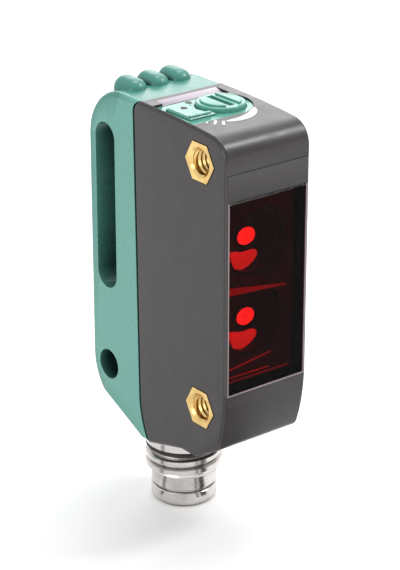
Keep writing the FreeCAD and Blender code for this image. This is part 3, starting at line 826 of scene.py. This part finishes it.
@dataclass
class Housing:
    """The black front shell and the green rear shell with its grip ribs."""

    shelf: FinishShelf
    smooth_angle: float = 28.0

    def dress(self) -> None:
        """Dress both shells."""
        self._shell("front_housing", "front_shell", Finish.BLACK_PLASTIC)
        self._shell("rear_housing", "rear_shell", Finish.GREEN_PLASTIC)

    def _shell(self, node: str, name: str, finish: Finish) -> None:
        """Make a shell's display copy, with its flats kept flat beside their rounded edges.

        Args:
            node: the shell's CAD node.
            name: the copy's name.
            finish: its finish.
        """
        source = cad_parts[node]
        shell = bpy.data.objects.new(name, source.data.copy())
        bpy.context.scene.collection.objects.link(shell)
        shell.data.materials.clear()
        edit_all(shell)
        bpy.ops.mesh.customdata_custom_splitnormals_clear()
        bpy.ops.mesh.remove_doubles(threshold=1e-6)
        bpy.ops.object.mode_set(mode="OBJECT")
        smooth(shell, self.smooth_angle)
        even = shell.modifiers.new("even", "WEIGHTED_NORMAL")
        even.keep_sharp = True
        even.weight = 100
        apply_modifiers(shell)
        self.shelf.dress(shell, finish)
        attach(shell, Body.HOUSING.value)
        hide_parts(node)
        LOG.info("made %s from %s", name, node)


@dataclass
class Optics:
    """The tinted window and what lies behind it."""

    shelf: FinishShelf
    painted_glint_radius: float = 0.88 * MM
    painted_glint_shape: Point = (1.22, 0.12, 1.0)
    reflector_depth: float = 0.45 * MM
    reflector_edge: float = 0.08 * MM
    reflector_outline: tuple[Span, ...] = (
        (0.099, 1), (0.237, 0.991), (0.398, 0.867), (0.538, 0.853), (0.688, 0.871), (0.801, 0.822),
        (0.81, 0.573), (0.724, 0.311), (0.584, 0.116), (0.443, 0), (0.303, 0.004), (0.183, 0.116),
        (0.101, 0.311))
    edge_depth: float = 0.12 * MM
    lip_width: float = 0.07 * MM
    lip_depth: float = 0.20 * MM
    lip_proud: float = 0.02 * MM

    def dress(self) -> None:
        """Dress the window, seal, lenses, diodes, reflectors and carrier, and lay the painted glints and the
        painted highlight lip.
        """
        self.shelf.dress_nodes(Finish.RED_WINDOW, "front_window")
        self.shelf.dress_nodes(Finish.RUBBER, "window_seal")
        self.shelf.dress_nodes(Finish.CLEAR_LENS, "emitter_lens", "receiver_lens")
        self.shelf.dress_nodes(Finish.SMOKED_RESIN, "emitter_diode", "receiver_diode")
        for channel in ("emitter", "receiver"):
            self._diode_painted_glint(channel)
            self._reflector(channel)
        self.shelf.dress_nodes(Finish.DARK_COMPONENT, "optics_carrier")
        self._painted_red_glints()
        self._painted_lip_highlight()

    def _diode_painted_glint(self, channel: str) -> None:
        """Set a painted highlight, a flat glowing disc, at a diode's nose.

        Args:
            channel: which channel the diode serves.
        """
        low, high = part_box(channel + "_diode")
        middle = (low + high) / 2
        clear_selection()
        bpy.ops.mesh.primitive_uv_sphere_add(
            segments=32, ring_count=16, radius=self.painted_glint_radius, location=(middle.x, low.y, middle.z))
        painted_glint = bpy.context.object
        painted_glint.name = channel + "_diode_painted_glint"
        painted_glint.scale = self.painted_glint_shape
        place_for_good(painted_glint)
        smooth(painted_glint)
        self.shelf.dress(painted_glint, Finish.DIODE)
        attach(painted_glint, Body.HOUSING.value)
        LOG.info("set %s", painted_glint.name)

    def _reflector(self, channel: str) -> None:
        """Form a channel's curved reflector from its outline, given in shares of its node's box.

        Args:
            channel: which channel the reflector serves.
        """
        low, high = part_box(channel + "_reflector")
        width, height = high.x - low.x, high.z - low.z
        points = [(low.x + across * width, low.y, low.z + up * height)
                  for across, up in self.reflector_outline]
        piece = slab(points, (0.0, self.reflector_depth, 0.0))
        piece.name = channel + "_reflector_shell"
        round_edges(piece, self.reflector_edge)
        # Its finish glows: a painted reflection.
        self.shelf.dress(piece, Finish.REFLECTOR)
        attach(piece, Body.HOUSING.value)
        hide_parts(channel + "_reflector")
        LOG.info("formed %s", piece.name)

    def _painted_red_glints(self) -> None:
        """Lay the thin, faintly glowing red bars between and below the channels, painted highlights.

        Their corners are millimetres across and up from the carrier's low corner.
        """
        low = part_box("optics_carrier")[0]
        runs = (((0.15, 10.02), (0.15, 9.2), (2.65, 9.04), (7.25, 8.68), (7.25, 8.84), (3.05, 9.52)),
                ((0.25, 1.52), (0.25, 1.36), (5.45, 2), (5.45, 2.14)),
                ((0.05, 0.68), (0.05, 0.52), (5.25, 0.46), (5.25, 0.58)),
                ((0.05, 0.2), (0.05, 0.1), (7.65, 0.02), (7.65, 0.12)))
        edges = []
        for run in runs:
            points = [(low.x + x * MM, low.y - self.edge_depth, low.z + z * MM) for x, z in run]
            edges.append(slab(points, (0.0, self.edge_depth * 0.8, 0.0)))
        piece = join("painted_red_glints", edges)
        round_edges(piece, 0.02 * MM, 2)
        self.shelf.dress(piece, Finish.LIGHT_EDGE)
        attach(piece, Body.HOUSING.value)
        LOG.info("laid %s", piece.name)

    def _painted_lip_highlight(self) -> None:
        """Run a thin pale lip down both sides of the window and along its bottom, a painted highlight on its
        edges.
        """
        low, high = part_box("front_window")
        out = low.y - self.lip_proud
        width = self.lip_width
        strips = [((low.x - width, low.z - width), (low.x + width, high.z)),
                  ((high.x - width, low.z - width), (high.x + width, high.z)),
                  ((low.x + width, low.z - width), (high.x - width, low.z + width))]
        parts = []
        for (left, bottom), (right, top) in strips:
            points = [(left, out, bottom), (right, out, bottom), (right, out, top), (left, out, top)]
            parts.append(slab(points, (0.0, self.lip_depth, 0.0)))
        piece = join("painted_lip_highlight", parts)
        round_edges(piece, 0.03 * MM)
        # Its pale finish paints the highlight along the window's edges.
        self.shelf.dress(piece, Finish.WINDOW_LIP)
        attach(piece, Body.HOUSING.value)
        LOG.info("ran %s", piece.name)


@dataclass
class Electronics:
    """The boards and the components on them."""

    shelf: FinishShelf

    def dress(self) -> None:
        """Dress the boards and components."""
        self.shelf.dress_nodes(Finish.CIRCUIT_BOARD, "optics_board", "main_board", "control_board")
        self.shelf.dress_nodes(Finish.DARK_COMPONENT, "board_link", "control_chip", "key_switch",
                               "rotary_switch")
        self.shelf.dress_nodes(Finish.PALE_COMPONENT, "board_components", "signal_led", "power_led",
                               "switch_plunger", "switch_rotor")


@dataclass
class ControlPanel:
    """The translucent panel with its key and knob, and the marks printed in front of it."""

    shelf: FinishShelf
    dot_radius: float = 0.34 * MM
    dot_depth: float = 0.06 * MM
    ink_thickness: float = 0.03 * MM
    ink_drop: float = 2.2 * MM
    tick_angles: tuple[float, ...] = (-142.5, -134.0, -125.5)
    sweep_steps: int = 28

    def __post_init__(self) -> None:
        """Find the knob's axis from its box."""
        low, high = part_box("mode_knob")
        self.knob_centre = ((low.x + high.x) / 2, (low.y + high.y) / 2)

    def dress(self) -> None:
        """Dress the panel, the key and the knob, and print the marks."""
        self.shelf.dress_nodes(Finish.GREEN_CLEAR, "indicator_panel", "teach_key", "mode_knob")
        self.shelf.dress_nodes(Finish.RUBBER, "key_seal", "knob_seal")
        self.shelf.dress_nodes(Finish.SPRING_STEEL, "knob_clip")
        self._light_strip()
        self._key_details()
        self._knob_cheeks()
        self._print("turn_mark", [self._crescent()])
        self._print("scale_marks", [self._tick(angle) for angle in self.tick_angles])

    def _light_strip(self) -> None:
        """Lay the pale strip on the ramp behind the panel."""
        low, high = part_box("indicator_panel")
        left, right = low.x + 0.30 * MM, high.x - 0.35 * MM
        front, back = high.y + 0.04 * MM, high.y + 1.10 * MM
        foot, top = high.z + 0.035 * MM, CAD_TOP_Z + 0.01 * MM
        points = [(left, front, foot), (right, front, foot), (right, back, top), (left, back, top)]
        strip = slab(points, (0.0, 0.02 * MM, -0.05 * MM))
        strip.name = "pale_strip"
        self._finish(strip, Finish.PALE_STRIP, Body.HOUSING, 0.02)

    def _key_details(self) -> None:
        """Put the raised front bar and the sunk dot on the key, and the second dot on the panel."""
        low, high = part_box("teach_key")
        left, right, front = low.x + 0.35 * MM, low.x + 2.85 * MM, low.y + 0.30 * MM
        foot, top = high.z - 0.02 * MM, high.z + 0.16 * MM
        points = [(left, front, foot), (right, front, foot), (right, front, top), (left, front, top)]
        bar = slab(points, (0.0, 0.42 * MM, 0.0))
        bar.name = "key_bar"
        self._finish(bar, Finish.GREEN_CLEAR, Body.KEY, 0.07)
        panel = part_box("indicator_panel")[1]
        key_dot = (low.x + 1.68 * MM, high.y - 1.32 * MM, high.z)
        panel_dot = (high.x - 0.165 * MM, panel.y - 0.52 * MM, panel.z)
        for name, place, body in (("key_dot", key_dot, Body.KEY), ("panel_dot", panel_dot, Body.HOUSING)):
            clear_selection()
            bpy.ops.mesh.primitive_cylinder_add(
                vertices=32, radius=self.dot_radius, depth=self.dot_depth, location=place)
            dot = bpy.context.object
            dot.name = name
            place_for_good(dot)
            self._finish(dot, Finish.DARK_COMPONENT, body, 0.015)

    def _knob_cheeks(self) -> None:
        """Raise a grip on each side of the knob's slot."""
        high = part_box("mode_knob")[1]
        half_gap, cheek_width, half_length = 0.14 * MM, 1.86 * MM, 2.02 * MM
        sunk, height, cut_short = 0.02 * MM, 0.20 * MM, 0.11
        for name, side in (("knob_cheek_near", -1), ("knob_cheek_far", 1)):
            points = []
            for step in range(self.sweep_steps + 1):
                angle = math.pi * (cut_short + (1 - 2 * cut_short) * step / self.sweep_steps)
                across = side * (half_gap + cheek_width * math.sin(angle))
                along = half_length * math.cos(angle)
                points.append((self.knob_centre[0] + across, self.knob_centre[1] + along, high.z - sunk))
            cheek = slab(points, (0.0, 0.0, height))
            cheek.name = name
            self._finish(cheek, Finish.GREEN_CLEAR, Body.KNOB, 0.08)

    def _finish(self, piece: Piece, finish: Finish, body: Body, edge: float) -> None:
        """Round a piece's edges, dress it and let it ride.

        Args:
            piece: the object.
            finish: its finish.
            body: what it rides on.
            edge: the rounding in millimetres.
        """
        round_edges(piece, edge * MM)
        self.shelf.dress(piece, finish)
        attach(piece, body.value)
        LOG.info("made %s", piece.name)

    def _at(self, radius: float, angle: float) -> tuple[float, float]:
        """A point round the knob.

        Args:
            radius: millimetres from the knob's centre.
            angle: degrees from +X.

        Returns:
            The point's plan coordinates in metres.
        """
        turn = math.radians(angle)
        return (self.knob_centre[0] + radius * MM * math.cos(turn),
                self.knob_centre[1] + radius * MM * math.sin(turn))

    def _crescent(self) -> list[tuple[float, float]]:
        """The outline of a mark that widens from a point and narrows again along the knob's edge.

        Returns:
            The outline's plan points in order.
        """
        first, last = -122.0, -52.0
        start_radius, closing, thin, swell, taper = 4.75, 1.45, 0.09, 0.34, 0.6
        outer, inner = [], []
        for step in range(self.sweep_steps + 1):
            share = step / self.sweep_steps
            angle = first + (last - first) * share
            middle = start_radius - closing * share
            half = thin + swell * math.sin(math.pi * min(1.0, share * 1.02)) ** taper
            outer.append(self._at(middle + half, angle))
            inner.append(self._at(middle - half, angle))
        return outer + inner[::-1]

    def _tick(self, angle: float) -> list[tuple[float, float]]:
        """The outline of one short radial tick.

        Args:
            angle: its direction from the knob, in degrees.

        Returns:
            The outline's plan points in order.
        """
        inner, outer = 4.75, 5.75
        inner_turn, outer_turn = 1.6, 1.328
        return [self._at(inner, angle - inner_turn), self._at(outer, angle - outer_turn),
                self._at(outer, angle + outer_turn), self._at(inner, angle + inner_turn)]

    def _print(self, name: str, outlines: list[list[tuple[float, float]]]) -> None:
        """Print outlines on the top of the front shell as a thin layer of ink.

        Args:
            name: the piece's name.
            outlines: the outlines' plan points.
        """
        shapes = []
        for outline in outlines:
            shape = flat_shape([(*point, CAD_TOP_Z + self.ink_drop) for point in outline])
            edit_all(shape)
            bpy.ops.mesh.quads_convert_to_tris(quad_method="BEAUTY", ngon_method="BEAUTY")
            bpy.ops.mesh.subdivide(number_cuts=1)
            bpy.ops.object.mode_set(mode="OBJECT")
            shapes.append(shape)
        ink = join(name, shapes)
        wrap = ink.modifiers.new("lay", "SHRINKWRAP")
        wrap.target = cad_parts["front_housing"]
        wrap.wrap_method = "PROJECT"
        wrap.use_project_z = True
        wrap.use_negative_direction = True
        wrap.use_positive_direction = False
        wrap.offset = 0.5 * self.ink_thickness
        thick = ink.modifiers.new("thickness", "SOLIDIFY")
        thick.thickness = self.ink_thickness
        thick.offset = 0.0
        apply_modifiers(ink)
        close_and_face_out(ink, CLOSE_GAP)
        self.shelf.dress(ink, Finish.INK)
        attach(ink, Body.HOUSING.value)
        LOG.info("printed %s", ink.name)


@dataclass
class Bushings:
    """The two hexagonal brass bushings and the threads in their bores."""

    shelf: FinishShelf
    bore: float = 1.25 * MM
    crest: float = 1.08 * MM
    pitch: float = 0.5 * MM
    end_gap: float = 0.25 * MM

    def dress(self) -> None:
        """Dress the bushings and set a thread in each."""
        self.shelf.dress_nodes(Finish.BRASS, "lower_bushing", "upper_bushing")
        for name in ("lower_bushing", "upper_bushing"):
            self._thread(name)

    def _thread(self, node: str) -> None:
        """Set the ridge of one bore's thread.

        Args:
            node: the bushing's CAD node.
        """
        low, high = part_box(node)
        middle = (low + high) / 2
        length = high.x - low.x - 2 * self.end_gap
        turns = math.floor(length / self.pitch)
        ridge = Helix(self.bore, self.crest, self.pitch, turns, steps=32).build(node + "_thread")
        ridge.rotation_euler = (0, math.pi / 2, 0)
        ridge.location = (middle.x - turns * self.pitch / 2, middle.y, middle.z)
        place_for_good(ridge)
        smooth(ridge, 40)
        self.shelf.dress(ridge, Finish.BRASS)
        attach(ridge, Body.HOUSING.value)
        LOG.info("set %s", ridge.name)


@dataclass
class Connector:
    """The round screw connector with its thread, smooth collar, pins and seal."""

    shelf: FinishShelf
    thread_radius: float = 4.0 * MM
    root_radius: float = 3.62 * MM
    pitch: float = 1.0 * MM
    thread_turns: float = 2.1
    thread_start: float = 3.7 * MM

    def dress(self) -> None:
        """Build the body and dress what it holds."""
        self.shelf.dress_nodes(Finish.RUBBER, "connector_seal")
        self.shelf.dress_nodes(Finish.DARK_COMPONENT, "contact_carrier")
        self.shelf.dress_nodes(Finish.GOLD, "contact_leads", *(f"contact_pin_{n}" for n in range(1, 5)))
        self._body()

    def _body(self) -> None:
        """Turn the connector's body and set its thread.

        The profile's steps are millimetres out from the axis and up from the box's lower end.
        """
        low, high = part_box("connector_body")
        steps = [(2.70, 5.35), (2.70, 0.15), (2.85, 0.00), (3.12, 0.00), (3.30, 0.18), (3.40, 0.40),
                 (3.40, 1.58), (3.34, 1.64), (3.16, 1.68), (3.16, 1.92), (3.34, 1.96), (3.40, 2.02),
                 (3.40, 3.34), (3.44, 3.42), (3.62, 3.50), (3.70, 3.60), (3.62, 3.75), (3.62, 5.75),
                 (3.70, 5.88), (3.62, 6.00), (3.50, 6.00), (3.50, 6.50), (3.90, 6.50), (4.00, 6.60),
                 (4.00, 7.70), (4.00, 9.55), (2.70, 9.55), (2.70, 11.95), (2.30, 11.95), (2.30, 5.35)]
        profile = [(radius * MM, height * MM) for radius, height in steps]
        profile.append(profile[0])
        turned = lathe("connector_turned", profile)
        thread = Helix(self.root_radius, self.thread_radius, self.pitch, self.thread_turns,
                       steps=64, run_out=0.3, flat=0.22)
        ridge = thread.build("ridge")
        ridge.location = (0, 0, self.thread_start)
        place_for_good(ridge)
        body = join("connector_body_threaded", [turned, ridge])
        body.location = (0, (low.y + high.y) / 2, low.z)
        place_for_good(body)
        smooth(body, 36)
        self.shelf.dress(body, Finish.NICKEL)
        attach(body, Body.HOUSING.value)
        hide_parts("connector_body")
        LOG.info("turned %s", body.name)


# ---- Studio ----


@dataclass
class SoftBox:
    """One large soft lamp aimed at the sensor."""

    name: str
    place: Point
    size: float
    power: float
    colour: Colour = (1.0, 1.0, 1.0)

    def build(self, target: Vector) -> None:
        """Hang the lamp.

        Args:
            target: the point it is aimed at.
        """
        data = bpy.data.lights.new(self.name, "AREA")
        data.shape = "SQUARE"
        data.size = self.size
        data.energy = self.power
        data.color = self.colour
        lamp = bpy.data.objects.new(self.name, data)
        bpy.context.scene.collection.objects.link(lamp)
        lamp.location = self.place
        lamp.rotation_euler = (target - Vector(self.place)).to_track_quat("-Z", "Y").to_euler()


@dataclass
class Studio:
    """The camera, the pale floor, the dark cards, the white surround and the lamps."""

    eye: Point = (-0.11531, -0.15651, 0.08920)
    look_at: Point = (-0.00495, -0.01509, 0.01379)
    lens: float = 2036.5 * 36 / 570
    floor_radius: float = 3.0
    floor_colour: Colour = (0.80, 0.80, 0.80)
    floor_reach: Span = (0.10, 0.50)
    floor_glow: Span = (0.34, 0.69)
    flag_reach: Span = (4.6 * MM, 70.0 * MM)
    flag_colour: Colour = (0.05, 0.046, 0.045)
    ambient: float = 0.40
    flag_headings: tuple[tuple[float, float], ...] = ((174.0, 4.0), (266.0, 3.0), (284.0, 9.0))
    lamps: list[SoftBox] = field(default_factory=lambda: [
        SoftBox("top_lamp", (0.10, 0.05, 0.42), 0.22, 0.80),
        SoftBox("back_lamp", (0.30, 0.32, 0.28), 0.36, 0.95),
        SoftBox("brow_lamp", (0.26, -0.18, 0.34), 0.10, 0.75),
        SoftBox("side_lamp", (-0.42, -0.10, 0.12), 0.30, 0.62),
    ])

    def build(self) -> None:
        """Set up the whole studio."""
        self._camera()
        self._floor()
        self._flags()
        self._surround()
        for lamp in self.lamps:
            lamp.build(Vector(self.look_at))
        bpy.context.scene.view_settings.view_transform = "Standard"

    def _camera(self) -> None:
        """Place the camera."""
        data = bpy.data.cameras.new("camera")
        data.lens = self.lens
        data.clip_start = 0.01
        camera = bpy.data.objects.new("camera", data)
        bpy.context.scene.collection.objects.link(camera)
        camera.location = self.eye
        aim = Vector(self.look_at) - Vector(self.eye)
        camera.rotation_euler = aim.to_track_quat("-Z", "Y").to_euler()
        bpy.context.scene.camera = camera

    def _floor(self) -> None:
        """Lay the pale floor under the connector's end."""
        clear_selection()
        level = CAD_BOX[0][2] - 0.02 * MM
        bpy.ops.mesh.primitive_circle_add(vertices=96, radius=self.floor_radius, fill_type="NGON",
                                          location=(0, 0, level))
        floor = bpy.context.object
        floor.name = "studio_floor"
        bench = NodeBench("studio_floor")
        diffuse = bench.node("ShaderNodeBsdfDiffuse")
        diffuse.inputs["Color"].default_value = (*self.floor_colour, 1.0)
        reach = bench.node("ShaderNodeVectorMath", operation="LENGTH")
        bench.link(bench.place, reach.inputs[0])
        scale = bench.node("ShaderNodeMath", operation="MULTIPLY")
        bench.link(self._seen(bench.tree), scale.inputs[0])
        bench.link(bench.remapped(reach.outputs["Value"], self.floor_reach, self.floor_glow), scale.inputs[1])
        glow = bench.node("ShaderNodeEmission")
        bench.link(scale.outputs[0], glow.inputs["Strength"])
        both = bench.node("ShaderNodeAddShader")
        bench.link(diffuse.outputs[0], both.inputs[0])
        bench.link(glow.outputs[0], both.inputs[1])
        bench.link(both.outputs[0], bench.tree.nodes["Material Output"].inputs["Surface"])
        floor.data.materials.append(bench.material)

    def _flags(self) -> None:
        """Lay dark cards on the floor that only reflections see, to give polished metal dark streaks."""
        level = CAD_BOX[0][2] - 0.01 * MM
        low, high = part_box("connector_body")
        centre_y = (low.y + high.y) / 2
        near, far = self.flag_reach
        black = bpy.data.materials.new("studio_flag")
        black.use_nodes = True
        shader = black.node_tree.nodes["Principled BSDF"]
        shader.inputs["Base Color"].default_value = (*self.flag_colour, 1.0)
        shader.inputs["Specular IOR Level"].default_value = 0.0
        for number, (heading, half_width) in enumerate(self.flag_headings):
            corners = []
            for radius, side in ((near, -1), (far, -1), (far, 1), (near, 1)):
                turn = math.radians(heading + side * half_width)
                corners.append((radius * math.cos(turn), centre_y + radius * math.sin(turn), level))
            card = flat_shape(corners)
            card.name = f"studio_flag_{number}"
            card.data.materials.append(black)
            card.visible_camera = card.visible_diffuse = False
            card.visible_shadow = card.visible_transmission = False

    def _surround(self) -> None:
        """Make the surround white where it is seen and soft where it lights."""
        world = bpy.data.worlds.new("surround")
        bpy.context.scene.world = world
        world.use_nodes = True
        tree = world.node_tree
        seen = self._seen(tree)
        strength = tree.nodes.new("ShaderNodeMapRange")
        strength.inputs["To Min"].default_value = self.ambient
        strength.inputs["To Max"].default_value = 1.0
        tree.links.new(seen, strength.inputs["Value"])
        background = tree.nodes["Background"]
        background.inputs["Color"].default_value = (1.0, 1.0, 1.0, 1.0)
        tree.links.new(strength.outputs["Result"], background.inputs["Strength"])

    @staticmethod
    def _seen(tree: bpy.types.NodeTree) -> Socket:
        """Tell the rays that show a surface from those that light others.

        Args:
            tree: the node tree.

        Returns:
            1 for camera, glossy and transmission rays, and 0 for the rest.
        """
        path = tree.nodes.new("ShaderNodeLightPath")
        socket = path.outputs["Is Camera Ray"]
        for name in ("Is Glossy Ray", "Is Transmission Ray"):
            either = tree.nodes.new("ShaderNodeMath")
            either.operation = "MAXIMUM"
            tree.links.new(socket, either.inputs[0])
            tree.links.new(path.outputs[name], either.inputs[1])
            socket = either.outputs[0]
        return socket


def main() -> None:
    """Build the studio and every sub-assembly."""
    logging.basicConfig(level=logging.INFO, format="%(name)s: %(message)s")
    shelf = FinishShelf()
    Studio().build()
    for assembly in (Housing(shelf), Optics(shelf), Electronics(shelf), ControlPanel(shelf), Bushings(shelf),
                     Connector(shelf)):
        assembly.dress()
        LOG.info("finished %s", type(assembly).__name__)


if __name__ == "__main__":
    main()
